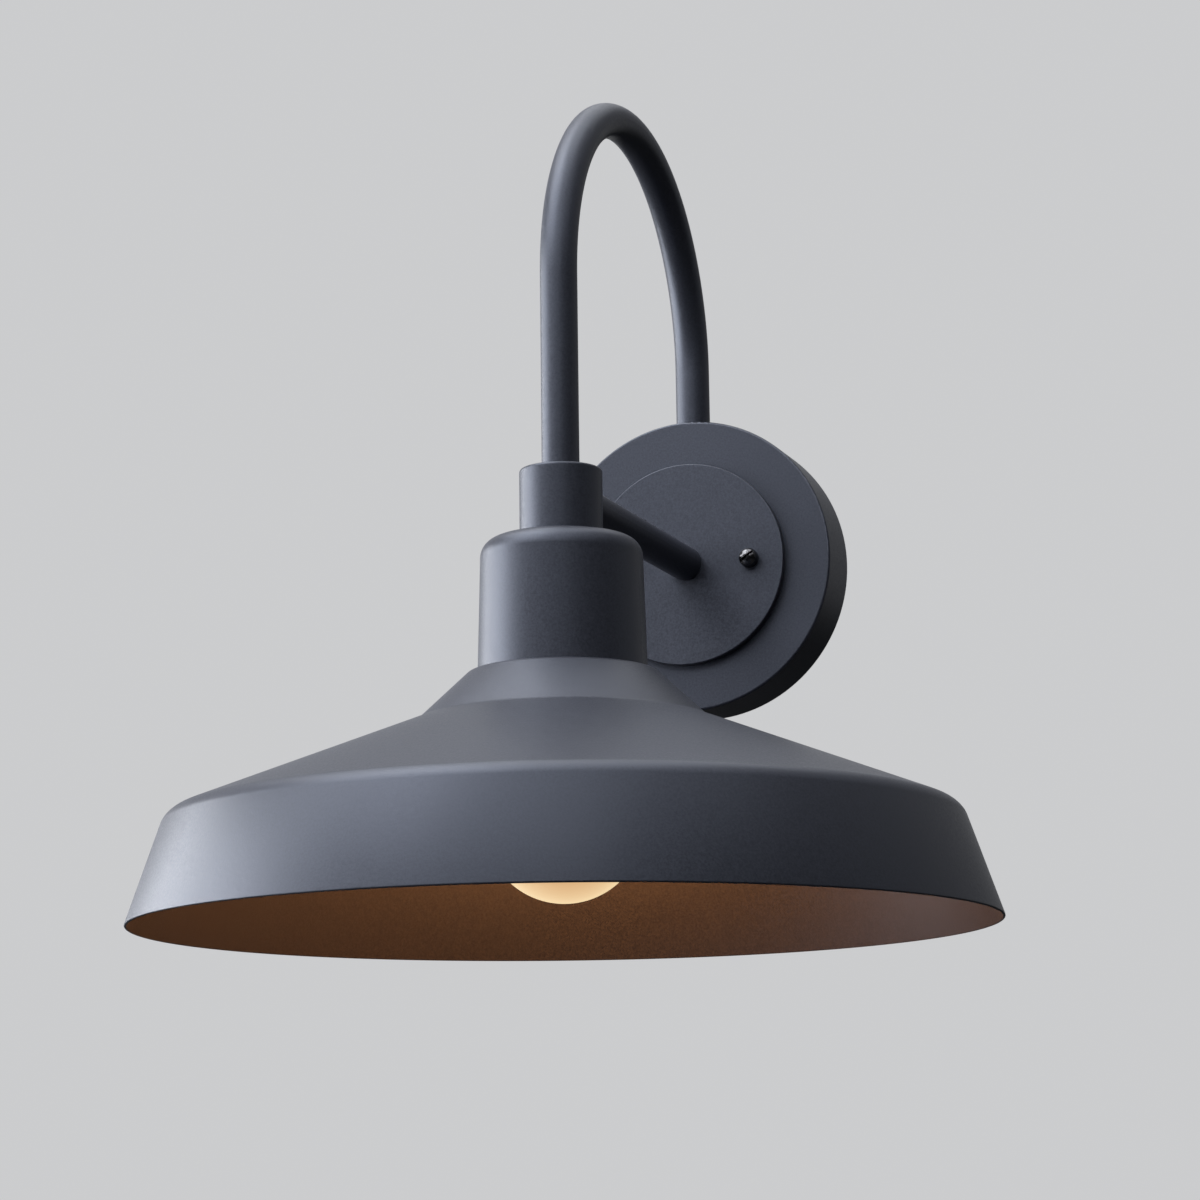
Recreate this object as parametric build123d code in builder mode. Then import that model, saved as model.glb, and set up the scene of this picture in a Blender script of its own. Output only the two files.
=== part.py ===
"""Gooseneck wall light with a flared metal shade.

Units are millimetres. The origin lies on the wall at the middle of the wall plate.
X runs along the wall, -Y points out of the wall and Z points up.
The lamp hangs on a vertical axis at Y = -reach.
"""

import os
from math import cos, radians, sin, sqrt

from build123d import *

os.makedirs("parts", exist_ok=True)

# Wall plate: a round pressed pan with a raised disc on its face
plate_radius = 68.8
plate_depth = 29.1
plate_sheet = 1.6
plate_edge_round = 1.0
disc_radius = 47.6
disc_thickness = 3.9
disc_edge_round = 0.5
gasket_width = 6.0
gasket_thickness = 3.0

# Screws that hold the plate to the crossbar
plate_screw_offset = 31.4
plate_screw_radius = 2.0
plate_screw_head_radius = 4.5
plate_screw_head_height = 5.6
plate_screw_head_round = 3.8
plate_screw_slot_width = 1.1
plate_screw_slot_depth = 1.8
plate_screw_slot_turn = 38.0

# Crossbar that is screwed to the outlet box
bar_gap = 4.2
bar_width = 20.0
bar_thickness = 2.0
bar_corner_round = 4.0
box_hole_spacing = 88.9
box_slot_length = 14.0
box_hole_radius = 2.4
bar_cable_hole_radius = 6.5
ground_screw_offset = -16.0
ground_screw_radius = 2.0
ground_screw_head_radius = 4.0
ground_screw_head_height = 2.4
ground_wire_radius = 0.8
ground_wire_bend = 5.5

# Tubes: the hooped arm and the straight brace
tube_radius = 7.94
tube_wall = 1.2
reach = 193.3
leg_gap = 2.56
hoop_foot = 95.4
hoop_side_extra = 7.45
hoop_side_turn = 45.0
arm_end_in_plate = 10.0
brace_seat_depth = 7.5
arm_seat_depth = 8.0
ring_nut_wall = 1.9
ring_nut_height = 7.0

# Threaded stems, their washers and nuts
stem_radius = 4.8
stem_wall = 1.4
bushing_length = 14.0
washer_radius = 9.2
washer_thickness = 1.4
nut_flats = 15.0
nut_height = 4.5
stem_tail = 3.0

# Collar at the front end of the tubes
collar_radius = 17.4
collar_top = 9.6
collar_edge_round = 1.2

# Socket cup
cup_top = -20.0
cup_bottom = -76.2
cup_top_radius = 33.7
cup_bottom_radius = 35.2
cup_shoulder_round = 8.0
cup_sheet = 1.6

# Shade, outer profile from its top hole to its rim
shade_sheet = 1.2
shade_neck_radius = 38.8
shade_neck_round = 4.0
shade_crease_radius = 60.3
shade_crease_drop = 20.3
shade_crease_round = 6.0
shade_corner_radius = 162.6
shade_corner_drop = 60.2
shade_corner_round = 9.0
shade_rim_radius = 177.8
shade_rim_drop = 104.8

# Lamp socket
socket_radius = 20.0
socket_top = -42.0
socket_bottom = -94.0
socket_roof = 14.0
socket_flat_offset = 18.5
socket_flat_height = 16.0
socket_lip_height = 8.0
socket_lip_wall = 4.4
shell_bore_radius = 13.45
shell_sheet = 0.5
shell_gap_above = 2.0
thread_pitch = 3.629
thread_height = 0.5
thread_width = 1.5
contact_sheet = 0.6
contact_width = 6.0
contact_drop = 5.6
contact_reach = 9.0
bracket_sheet = 1.5
bracket_width = 14.0
bracket_leg_bottom = -55.0
bracket_screw_height = -49.0
bracket_screw_radius = 1.5
bracket_screw_head_radius = 3.0
bracket_screw_head_height = 2.0
bracket_screw_bite = 4.0
terminal_offset = 12.0
terminal_screw_radius = 1.5
terminal_head_radius = 3.4
terminal_head_height = 2.2
terminal_depth = 7.0
shade_ring_width = 7.0
shade_ring_height = 6.0
shade_ring_notch_radius = 1.0
shade_ring_notches = 12

# Leads inside the arm
lead_radius = 1.2
lead_spacing = 3.2
lead_bend = 4.0
wire_nut_radius = 5.5
wire_nut_tip_radius = 3.6
wire_nut_length = 15.2
wire_nut_drop = 15.0
wire_in_nut = 9.5
wire_nut_gap = 2.0

# Bulb
bulb_tip = -62.7
bulb_length = 109.0
bulb_radius = 30.5
bulb_dome_radius = 33.0
bulb_dome_edge = 22.0
bulb_belly_drop = 80.0
bulb_glass = 1.0
bulb_neck_radius = 24.0
bulb_neck_drop = 50.0
bulb_cap_length = 25.5
bulb_cap_sheet = 0.5
bulb_cap_thread_start = 7.5
bulb_insulator_height = 4.0
bulb_insulator_land = 1.0
bulb_contact_radius = 4.5
bulb_contact_height = 1.6
bulb_contact_round = 0.96
bulb_collar_radius = 14.2
bulb_collar_drop = 33.0
bulb_housing_wall = 1.6
bulb_housing_sleeve = 6.0
led_board_gap = 0.5
board_thickness = 1.6
driver_board_width = 17.0
driver_board_height = 18.0

# Fits
slip = 0.1
thread_fit = 0.05
screw_clearance = 0.3
bulb_clearance = 0.25

# Sizes that follow from the ones above
tube_bore = tube_radius - tube_wall
back_leg_depth = plate_depth - plate_sheet - leg_gap - tube_radius
hoop_middle = (reach + back_leg_depth) / 2
hoop_side_radius = (reach - back_leg_depth) / 2 + hoop_side_extra
hoop_crown_radius = hoop_side_radius - hoop_side_extra / cos(radians(hoop_side_turn))
hoop_crown = hoop_foot + (hoop_side_radius - hoop_crown_radius) * sin(radians(hoop_side_turn))
plate_face = -plate_depth
plate_inside = -plate_depth + plate_sheet
disc_face = plate_face - disc_thickness
rim_bore = plate_radius - plate_sheet
gasket_bore = rim_bore - slip - gasket_width
bar_length = 2 * sqrt((gasket_bore - bar_gap) ** 2 - (bar_width / 2) ** 2)
arm_seat = collar_top - arm_seat_depth
stem_bore = stem_radius - stem_wall
stem_hole = stem_radius + screw_clearance
cup_roof = cup_top - cup_sheet
bracket_roof = cup_roof - bracket_sheet
stem_nut_top = bracket_roof - washer_thickness
stem_nut_bottom = stem_nut_top - nut_height
shade_top = cup_bottom
shade_rim = shade_top - shade_rim_drop
shade_hole_radius = socket_radius + 2 * screw_clearance
socket_ceiling = socket_top - socket_roof
shell_radius = shell_bore_radius + shell_sheet
shell_top = socket_ceiling - shell_gap_above
shell_bottom = socket_bottom + socket_lip_height
cap_thread_radius = shell_bore_radius - thread_height - bulb_clearance
cap_radius = cap_thread_radius - thread_height
lead_offset = lead_spacing / 2
ring_nut_radius = tube_radius + ring_nut_wall
ring_nut_top = sqrt(rim_bore**2 - ring_nut_radius**2) - slip
arm_end = rim_bore - arm_end_in_plate
bulb_bottom = bulb_tip - bulb_length
bulb_belly = bulb_tip - bulb_belly_drop
bulb_neck = bulb_tip - bulb_neck_drop
cap_top = bulb_tip - bulb_contact_height - bulb_insulator_height
cap_bottom = bulb_tip - bulb_cap_length
bulb_collar_bottom = bulb_tip - bulb_collar_drop
led_board_radius = bulb_neck_radius - bulb_glass - led_board_gap

# Half sections: radius along X and height along Z on the lamp's axis,
# radius along X and depth along Y on the wall plate's axis
lamp_section = Plane(origin=(0, -reach, 0), x_dir=(1, 0, 0), z_dir=(0, -1, 0))
lamp_axis = Axis((0, -reach, 0), (0, 0, 1))
wall_section = Plane.XY
wall_axis = Axis.Y


def wall_plane(depth):
    """Plane facing out of the wall at a Y value, with X to the right and Z up."""
    return Plane(origin=(0, depth, 0), x_dir=(1, 0, 0), z_dir=(0, -1, 0))


def level_plane(height):
    """Level plane on the lamp's axis at a height, facing up."""
    return Plane(origin=(0, -reach, height), x_dir=(1, 0, 0), z_dir=(0, 0, 1))


def hoop_arcs():
    """The hoop's three tangent arcs, from back to front: a side, the crown and the other side."""
    CenterArc((-back_leg_depth - hoop_side_radius, hoop_foot), hoop_side_radius, 0, hoop_side_turn)
    CenterArc((-hoop_middle, hoop_crown), hoop_crown_radius, hoop_side_turn, 180 - 2 * hoop_side_turn)
    CenterArc((-reach + hoop_side_radius, hoop_foot), hoop_side_radius, 180 - hoop_side_turn, hoop_side_turn)


def dome_height(radius):
    """Height of the bulb's dome at a radius from its axis."""
    return bulb_bottom + bulb_dome_radius - sqrt(bulb_dome_radius**2 - radius**2)


# Wall plate: the pan's face, its rim, and holes for the brace stem, two screws and the arm
with BuildPart() as backplate:
    with BuildSketch(wall_section):
        with BuildLine():
            FilletPolyline(
                (0, plate_face),
                (plate_radius, plate_face),
                (plate_radius, 0),
                (rim_bore, 0),
                (rim_bore, plate_inside),
                (0, plate_inside),
                radius=(plate_edge_round, 0, 0, 0),
            )
            Line((0, plate_inside), (0, plate_face))
        make_face()
    revolve(axis=wall_axis)
    with BuildSketch(wall_plane(plate_inside)):
        Circle(stem_hole)
        with Locations((plate_screw_offset, 0), (-plate_screw_offset, 0)):
            Circle(plate_screw_radius + screw_clearance)
    extrude(amount=plate_depth, mode=Mode.SUBTRACT)
    with BuildSketch(Plane(origin=(0, -back_leg_depth, arm_end), z_dir=(0, 0, 1))):
        Circle(tube_radius + slip)
    extrude(amount=plate_radius, mode=Mode.SUBTRACT)
backplate.part.label = "backplate"
export_step(backplate.part, "parts/backplate.step")

# Raised disc on the plate's face
with BuildPart() as center_disc:
    with BuildSketch(wall_section):
        with BuildLine():
            FilletPolyline(
                (stem_hole, disc_face),
                (disc_radius, disc_face),
                (disc_radius, plate_face),
                (stem_hole, plate_face),
                radius=(disc_edge_round, 0),
            )
            Line((stem_hole, plate_face), (stem_hole, disc_face))
        make_face()
    revolve(axis=wall_axis)
    with BuildSketch(wall_plane(plate_face)):
        with Locations((plate_screw_offset, 0), (-plate_screw_offset, 0)):
            Circle(plate_screw_radius + screw_clearance)
    extrude(amount=disc_thickness, mode=Mode.SUBTRACT)
center_disc.part.label = "center_disc"
export_step(center_disc.part, "parts/center_disc.step")

# Two slotted round-head screws, from the disc's face into the crossbar
with BuildPart() as canopy_screws:
    with BuildSketch(wall_plane(0)):
        with Locations((plate_screw_offset, 0), (-plate_screw_offset, 0)):
            Circle(plate_screw_radius)
    extrude(amount=-disc_face)
    with BuildSketch(wall_plane(disc_face)):
        with Locations((plate_screw_offset, 0), (-plate_screw_offset, 0)):
            Circle(plate_screw_head_radius)
    extrude(amount=plate_screw_head_height)
    head_rims = canopy_screws.edges().group_by(Axis.Y)[0]
    fillet(head_rims, radius=plate_screw_head_round)
    with BuildSketch(wall_plane(disc_face - plate_screw_head_height)):
        with Locations((plate_screw_offset, 0), (-plate_screw_offset, 0)):
            Rectangle(
                3 * plate_screw_head_radius,
                plate_screw_slot_width,
                rotation=plate_screw_slot_turn,
            )
    extrude(amount=-plate_screw_slot_depth, mode=Mode.SUBTRACT)
canopy_screws.part.label = "canopy_screws"
export_step(canopy_screws.part, "parts/canopy_screws.step")

# Crossbar: tapped holes for the plate's screws, slots for the outlet box
with BuildPart() as crossbar:
    with BuildSketch(wall_plane(0)):
        RectangleRounded(bar_length, bar_width, bar_corner_round)
        with Locations((plate_screw_offset, 0), (-plate_screw_offset, 0)):
            Circle(plate_screw_radius + thread_fit, mode=Mode.SUBTRACT)
        with Locations((box_hole_spacing / 2, 0), (-box_hole_spacing / 2, 0)):
            SlotOverall(box_slot_length, 2 * box_hole_radius, mode=Mode.SUBTRACT)
        with Locations((ground_screw_offset, 0)):
            Circle(ground_screw_radius + thread_fit, mode=Mode.SUBTRACT)
        Circle(bar_cable_hole_radius, mode=Mode.SUBTRACT)
    extrude(amount=bar_thickness)
crossbar.part.label = "crossbar"
export_step(crossbar.part, "parts/crossbar.step")

# Grounding screw: its head stands off the bar by the wire it clamps
ground_head_back = -bar_thickness - 2 * ground_wire_radius - thread_fit
with BuildPart() as ground_screw:
    with BuildSketch(wall_plane(0)):
        with Locations((ground_screw_offset, 0)):
            Circle(ground_screw_radius)
    extrude(amount=-ground_head_back)
    with BuildSketch(wall_plane(ground_head_back)):
        with Locations((ground_screw_offset, 0)):
            RegularPolygon(ground_screw_head_radius, 6)
    extrude(amount=ground_screw_head_height)
    with BuildSketch(wall_plane(ground_head_back - ground_screw_head_height)):
        with Locations((ground_screw_offset, 0)):
            Rectangle(3 * ground_screw_head_radius, plate_screw_slot_width)
    extrude(amount=-ground_screw_head_height / 2, mode=Mode.SUBTRACT)
ground_screw.part.label = "ground_screw"
export_step(ground_screw.part, "parts/ground_screw.step")

# Bare grounding wire: from beside the screw, down past the bar and forward into its wire nut
ground_wire_x = ground_screw_offset + ground_screw_radius + ground_wire_radius + slip
ground_wire_y = -bar_thickness - ground_wire_radius - thread_fit
ground_nut_z = -bar_width / 2 - 2 * wire_nut_radius
ground_nut_mouth = ground_wire_y - ground_wire_bend - wire_nut_gap
with BuildPart() as ground_lead:
    with BuildLine(Plane(origin=(ground_wire_x, 0, 0), x_dir=(0, 1, 0), z_dir=(1, 0, 0))):
        FilletPolyline(
            (ground_wire_y, ground_screw_head_radius / 2),
            (ground_wire_y, ground_nut_z),
            (ground_nut_mouth - wire_in_nut, ground_nut_z),
            radius=(ground_wire_bend,),
        )
    with BuildSketch(Plane(origin=(ground_wire_x, ground_wire_y, ground_screw_head_radius / 2))):
        Circle(ground_wire_radius)
    sweep()
ground_lead.part.label = "ground_lead"
export_step(ground_lead.part, "parts/ground_lead.step")

# Foam ring inside the rim, flush with its back edge
with BuildPart() as wall_gasket:
    with BuildSketch(wall_plane(0)):
        Circle(rim_bore - slip)
        Circle(gasket_bore, mode=Mode.SUBTRACT)
    extrude(amount=gasket_thickness)
wall_gasket.part.label = "wall_gasket"
export_step(wall_gasket.part, "parts/wall_gasket.step")

# Hooped arm: up from the wall plate, over, and down into the collar
with BuildPart() as gooseneck_tube:
    with BuildLine(Plane.YZ):
        Line((-back_leg_depth, arm_end), (-back_leg_depth, hoop_foot))
        hoop_arcs()
        Line((-reach, hoop_foot), (-reach, arm_seat))
    with BuildSketch(Plane(origin=(0, -back_leg_depth, arm_end), z_dir=(0, 0, 1))):
        Circle(tube_radius)
        Circle(tube_bore, mode=Mode.SUBTRACT)
    sweep()
gooseneck_tube.part.label = "gooseneck_tube"
export_step(gooseneck_tube.part, "parts/gooseneck_tube.step")

# Ring nut on the arm's end inside the wall plate's rim
with BuildPart() as gooseneck_retaining_ring:
    with BuildSketch(Plane(origin=(0, -back_leg_depth, ring_nut_top), z_dir=(0, 0, 1))):
        Circle(ring_nut_radius)
        Circle(tube_radius + thread_fit, mode=Mode.SUBTRACT)
    extrude(amount=-ring_nut_height)
gooseneck_retaining_ring.part.label = "gooseneck_retaining_ring"
export_step(gooseneck_retaining_ring.part, "parts/gooseneck_retaining_ring.step")

# Threaded bushing brazed into the arm's front end
with BuildPart() as gooseneck_bushing:
    with BuildSketch(level_plane(arm_seat)):
        Circle(tube_bore - thread_fit)
        Circle(stem_radius + thread_fit, mode=Mode.SUBTRACT)
    extrude(amount=bushing_length)
gooseneck_bushing.part.label = "gooseneck_bushing"
export_step(gooseneck_bushing.part, "parts/gooseneck_bushing.step")

# Straight brace from the raised disc to the collar
brace_front = -reach + collar_radius - brace_seat_depth
with BuildPart() as brace_tube:
    with BuildSketch(wall_plane(disc_face)):
        Circle(tube_radius)
        Circle(tube_bore, mode=Mode.SUBTRACT)
    extrude(amount=disc_face - brace_front)
brace_tube.part.label = "brace_tube"
export_step(brace_tube.part, "parts/brace_tube.step")

# Threaded bushing brazed into the brace's wall end
with BuildPart() as brace_bushing:
    with BuildSketch(wall_plane(disc_face)):
        Circle(tube_bore - thread_fit)
        Circle(stem_radius + thread_fit, mode=Mode.SUBTRACT)
    extrude(amount=bushing_length)
brace_bushing.part.label = "brace_bushing"
export_step(brace_bushing.part, "parts/brace_bushing.step")

# Threaded stem through the disc and the plate, with its washer and nut behind the plate
brace_nut_back = plate_inside + washer_thickness + nut_height
with BuildPart() as brace_nipple:
    with BuildSketch(wall_plane(brace_nut_back + stem_tail)):
        Circle(stem_radius)
        Circle(stem_bore, mode=Mode.SUBTRACT)
    extrude(amount=brace_nut_back + stem_tail - disc_face + bushing_length)
brace_nipple.part.label = "brace_nipple"
export_step(brace_nipple.part, "parts/brace_nipple.step")

with BuildPart() as brace_washer:
    with BuildSketch(wall_plane(plate_inside + washer_thickness)):
        Circle(washer_radius)
        Circle(stem_hole, mode=Mode.SUBTRACT)
    extrude(amount=washer_thickness)
brace_washer.part.label = "brace_washer"
export_step(brace_washer.part, "parts/brace_washer.step")

with BuildPart() as brace_nut:
    with BuildSketch(wall_plane(brace_nut_back)):
        RegularPolygon(nut_flats / 2, 6, major_radius=False)
        Circle(stem_radius + thread_fit, mode=Mode.SUBTRACT)
    extrude(amount=nut_height)
brace_nut.part.label = "brace_nut"
export_step(brace_nut.part, "parts/brace_nut.step")

# Cast collar: a seat for the arm on top, a seat for the brace behind, a stem bore below
with BuildPart() as collar:
    with BuildSketch(lamp_section):
        with BuildLine():
            FilletPolyline(
                (0, collar_top),
                (collar_radius, collar_top),
                (collar_radius, cup_top),
                (0, cup_top),
                radius=(collar_edge_round, collar_edge_round / 2),
            )
            Line((0, cup_top), (0, collar_top))
        make_face()
    revolve(axis=lamp_axis)
    with BuildSketch(level_plane(cup_top)):
        Circle(stem_hole)
    extrude(amount=collar_top - cup_top, mode=Mode.SUBTRACT)
    with BuildSketch(level_plane(arm_seat)):
        Circle(tube_radius + slip)
    extrude(amount=arm_seat_depth, mode=Mode.SUBTRACT)
    with BuildSketch(wall_plane(brace_front)):
        Circle(tube_radius + slip)
    extrude(amount=-collar_radius, mode=Mode.SUBTRACT)
collar.part.label = "collar"
export_step(collar.part, "parts/collar.step")

# Threaded stem from the arm's bushing down into the cup, with the washer and nut that clamp the stack
stem_bottom = stem_nut_bottom - stem_tail
with BuildPart() as stem_nipple:
    with BuildSketch(level_plane(stem_bottom)):
        Circle(stem_radius)
        Circle(stem_bore, mode=Mode.SUBTRACT)
    extrude(amount=arm_seat + bushing_length - stem_bottom)
stem_nipple.part.label = "stem_nipple"
export_step(stem_nipple.part, "parts/stem_nipple.step")

with BuildPart() as stem_washer:
    with BuildSketch(level_plane(stem_nut_top)):
        Circle(washer_radius)
        Circle(stem_hole, mode=Mode.SUBTRACT)
    extrude(amount=washer_thickness)
stem_washer.part.label = "stem_washer"
export_step(stem_washer.part, "parts/stem_washer.step")

with BuildPart() as stem_nut:
    with BuildSketch(level_plane(stem_nut_bottom)):
        RegularPolygon(nut_flats / 2, 6, major_radius=False)
        Circle(stem_radius + thread_fit, mode=Mode.SUBTRACT)
    extrude(amount=nut_height)
stem_nut.part.label = "stem_nut"
export_step(stem_nut.part, "parts/stem_nut.step")

# Socket cup: a drawn shell with a round shoulder, open below
with BuildPart() as socket_cup:
    with BuildSketch(lamp_section):
        with BuildLine():
            FilletPolyline(
                (stem_hole, cup_top),
                (cup_top_radius, cup_top),
                (cup_bottom_radius, cup_bottom),
                radius=(cup_shoulder_round,),
            )
            FilletPolyline(
                (stem_hole, cup_roof),
                (cup_top_radius - cup_sheet, cup_roof),
                (cup_bottom_radius - cup_sheet, cup_bottom),
                radius=(cup_shoulder_round - cup_sheet,),
            )
            Line((stem_hole, cup_top), (stem_hole, cup_roof))
            Line((cup_bottom_radius, cup_bottom), (cup_bottom_radius - cup_sheet, cup_bottom))
        make_face()
    revolve(axis=lamp_axis)
socket_cup.part.label = "socket_cup"
export_step(socket_cup.part, "parts/socket_cup.step")

# Bent strap under the cup's roof, with a leg down each side of the socket
leg_outside = socket_flat_offset + bracket_sheet
with BuildPart() as socket_bracket:
    with BuildSketch(Plane(origin=(-bracket_width / 2, -reach, 0), x_dir=(0, 1, 0), z_dir=(1, 0, 0))):
        with BuildLine():
            Polyline(
                (-leg_outside, bracket_leg_bottom),
                (-leg_outside, cup_roof),
                (leg_outside, cup_roof),
                (leg_outside, bracket_leg_bottom),
                (socket_flat_offset, bracket_leg_bottom),
                (socket_flat_offset, bracket_roof),
                (-socket_flat_offset, bracket_roof),
                (-socket_flat_offset, bracket_leg_bottom),
                close=True,
            )
        make_face()
    extrude(amount=bracket_width)
    with BuildSketch(level_plane(bracket_roof)):
        Circle(stem_hole)
    extrude(amount=bracket_sheet, mode=Mode.SUBTRACT)
    with BuildSketch(wall_plane(-reach + leg_outside)):
        with Locations((0, bracket_screw_height)):
            Circle(bracket_screw_radius + slip)
    extrude(amount=2 * leg_outside, mode=Mode.SUBTRACT)
socket_bracket.part.label = "socket_bracket"
export_step(socket_bracket.part, "parts/socket_bracket.step")

# Two screws through the strap's legs into the socket's flats
with BuildPart() as bracket_screws:
    for side in (1, -1):
        outward = Plane(
            origin=(0, -reach + side * leg_outside, bracket_screw_height),
            x_dir=(1, 0, 0),
            z_dir=(0, side, 0),
        )
        with BuildSketch(outward):
            Circle(bracket_screw_radius)
        extrude(amount=-bracket_sheet - bracket_screw_bite)
        with BuildSketch(outward):
            Circle(bracket_screw_head_radius)
        extrude(amount=bracket_screw_head_height)
bracket_screws.part.label = "bracket_screws"
export_step(bracket_screws.part, "parts/bracket_screws.step")

# Glazed socket body: a roof with terminals, a bore for the screw shell and a wider lip
with BuildPart() as socket_body:
    with BuildSketch(level_plane(socket_bottom)):
        Circle(socket_radius)
    extrude(amount=socket_top - socket_bottom)
    with BuildSketch(level_plane(socket_top)):
        Rectangle(2 * socket_radius, 2 * socket_radius)
        Rectangle(2 * socket_radius, 2 * socket_flat_offset, mode=Mode.SUBTRACT)
    extrude(amount=-socket_flat_height, mode=Mode.SUBTRACT)
    with BuildSketch(level_plane(socket_bottom)):
        Circle(shell_radius + slip)
    extrude(amount=socket_ceiling - socket_bottom, mode=Mode.SUBTRACT)
    with BuildSketch(level_plane(socket_bottom)):
        Circle(socket_radius - socket_lip_wall)
    extrude(amount=socket_lip_height, mode=Mode.SUBTRACT)
    with BuildSketch(wall_plane(-reach + socket_radius)):
        with Locations((0, bracket_screw_height)):
            Circle(bracket_screw_radius + thread_fit)
    extrude(amount=socket_radius - socket_flat_offset + bracket_screw_bite + slip, mode=Mode.SUBTRACT)
    with BuildSketch(wall_plane(-reach - socket_radius)):
        with Locations((0, bracket_screw_height)):
            Circle(bracket_screw_radius + thread_fit)
    extrude(amount=-socket_radius + socket_flat_offset - bracket_screw_bite - slip, mode=Mode.SUBTRACT)
    with BuildSketch(level_plane(socket_top)):
        with Locations(
            (terminal_offset, terminal_screw_radius + lead_radius + slip),
            (-terminal_offset, terminal_screw_radius + lead_radius + slip),
        ):
            Circle(terminal_screw_radius + thread_fit)
    extrude(amount=-terminal_depth - slip, mode=Mode.SUBTRACT)
socket_body.part.label = "socket_body"
export_step(socket_body.part, "parts/socket_body.step")

# Screw shell: a thin sleeve with an inner thread, drawn clear of the bulb's thread
shell_thread_height = shell_top - shell_bottom - 3 * thread_width
with BuildPart() as socket_screw_shell:
    with BuildSketch(level_plane(shell_bottom)):
        Circle(shell_radius)
        Circle(shell_bore_radius, mode=Mode.SUBTRACT)
    extrude(amount=shell_top - shell_bottom)
    with BuildLine():
        shell_helix = Helix(
            thread_pitch,
            shell_thread_height,
            shell_bore_radius,
            center=(0, -reach, shell_bottom + 1.5 * thread_width),
        )
    with BuildSketch(Plane(origin=shell_helix @ 0, x_dir=(1, 0, 0), z_dir=shell_helix % 0)):
        with BuildLine():
            Polyline(
                (shell_sheet / 2, thread_width / 2),
                (-thread_height, thread_width / 5),
                (-thread_height, -thread_width / 5),
                (shell_sheet / 2, -thread_width / 2),
                close=True,
            )
        make_face()
    sweep(path=shell_helix, is_frenet=True)
socket_screw_shell.part.label = "socket_screw_shell"
export_step(socket_screw_shell.part, "parts/socket_screw_shell.step")

# Springy centre contact: a strip on the ceiling of the bore with a tongue bent down
with BuildPart() as socket_center_contact:
    with BuildSketch(Plane(origin=(-contact_width / 2, -reach, 0), x_dir=(0, 1, 0), z_dir=(1, 0, 0))):
        with BuildLine():
            Polyline(
                (contact_reach, socket_ceiling),
                (-contact_reach, socket_ceiling),
                (-contact_reach, socket_ceiling - contact_sheet),
                (contact_reach - 2 * contact_sheet, socket_ceiling - contact_sheet),
                (contact_sheet, socket_ceiling - contact_drop),
                (-contact_reach / 2, socket_ceiling - contact_drop),
                (-contact_reach / 2, socket_ceiling - contact_drop - contact_sheet),
                (2 * contact_sheet, socket_ceiling - contact_drop - contact_sheet),
                (contact_reach, socket_ceiling - contact_sheet),
                close=True,
            )
        make_face()
    extrude(amount=contact_width)
socket_center_contact.part.label = "socket_center_contact"
export_step(socket_center_contact.part, "parts/socket_center_contact.step")

# Two terminal screws on the socket's roof, each beside the lead it clamps
terminal_head_bottom = socket_top + 2 * lead_radius + slip
with BuildPart() as terminal_screws:
    for side in (1, -1):
        spot = Plane(
            origin=(
                side * terminal_offset,
                -reach + terminal_screw_radius + lead_radius + slip,
                terminal_head_bottom,
            ),
            z_dir=(0, 0, 1),
        )
        with BuildSketch(spot):
            Circle(terminal_screw_radius)
        extrude(amount=socket_top - terminal_depth - terminal_head_bottom)
        with BuildSketch(spot):
            Circle(terminal_head_radius)
        extrude(amount=terminal_head_height)
        with BuildSketch(spot.offset(terminal_head_height)):
            Rectangle(3 * terminal_head_radius, plate_screw_slot_width)
        extrude(amount=-terminal_head_height / 2, mode=Mode.SUBTRACT)
terminal_screws.part.label = "terminal_screws"
export_step(terminal_screws.part, "parts/terminal_screws.step")

# Shade: spun sheet, a flat top under the cup, a steep neck, a shallow cone and a flared skirt
with BuildPart() as shade:
    with BuildSketch(lamp_section):
        with BuildLine():
            FilletPolyline(
                (shade_hole_radius, shade_top),
                (shade_neck_radius, shade_top),
                (shade_crease_radius, shade_top - shade_crease_drop),
                (shade_corner_radius, shade_top - shade_corner_drop),
                (shade_rim_radius, shade_rim),
                radius=(shade_neck_round, shade_crease_round, shade_corner_round),
            )
            offset(amount=shade_sheet, side=Side.RIGHT, closed=True)
        make_face()
    revolve(axis=lamp_axis)
shade.part.label = "shade"
export_step(shade.part, "parts/shade.step")

# Threaded ring on the socket that clamps the shade's top up against the cup
ring_top = shade_top - shade_sheet
with BuildPart() as shade_ring:
    with BuildSketch(level_plane(ring_top)):
        Circle(socket_radius + slip + shade_ring_width)
        Circle(socket_radius + slip, mode=Mode.SUBTRACT)
        with PolarLocations(socket_radius + slip + shade_ring_width, shade_ring_notches):
            Circle(shade_ring_notch_radius, mode=Mode.SUBTRACT)
    extrude(amount=-shade_ring_height)
shade_ring.part.label = "shade_ring"
export_step(shade_ring.part, "parts/shade_ring.step")

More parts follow.
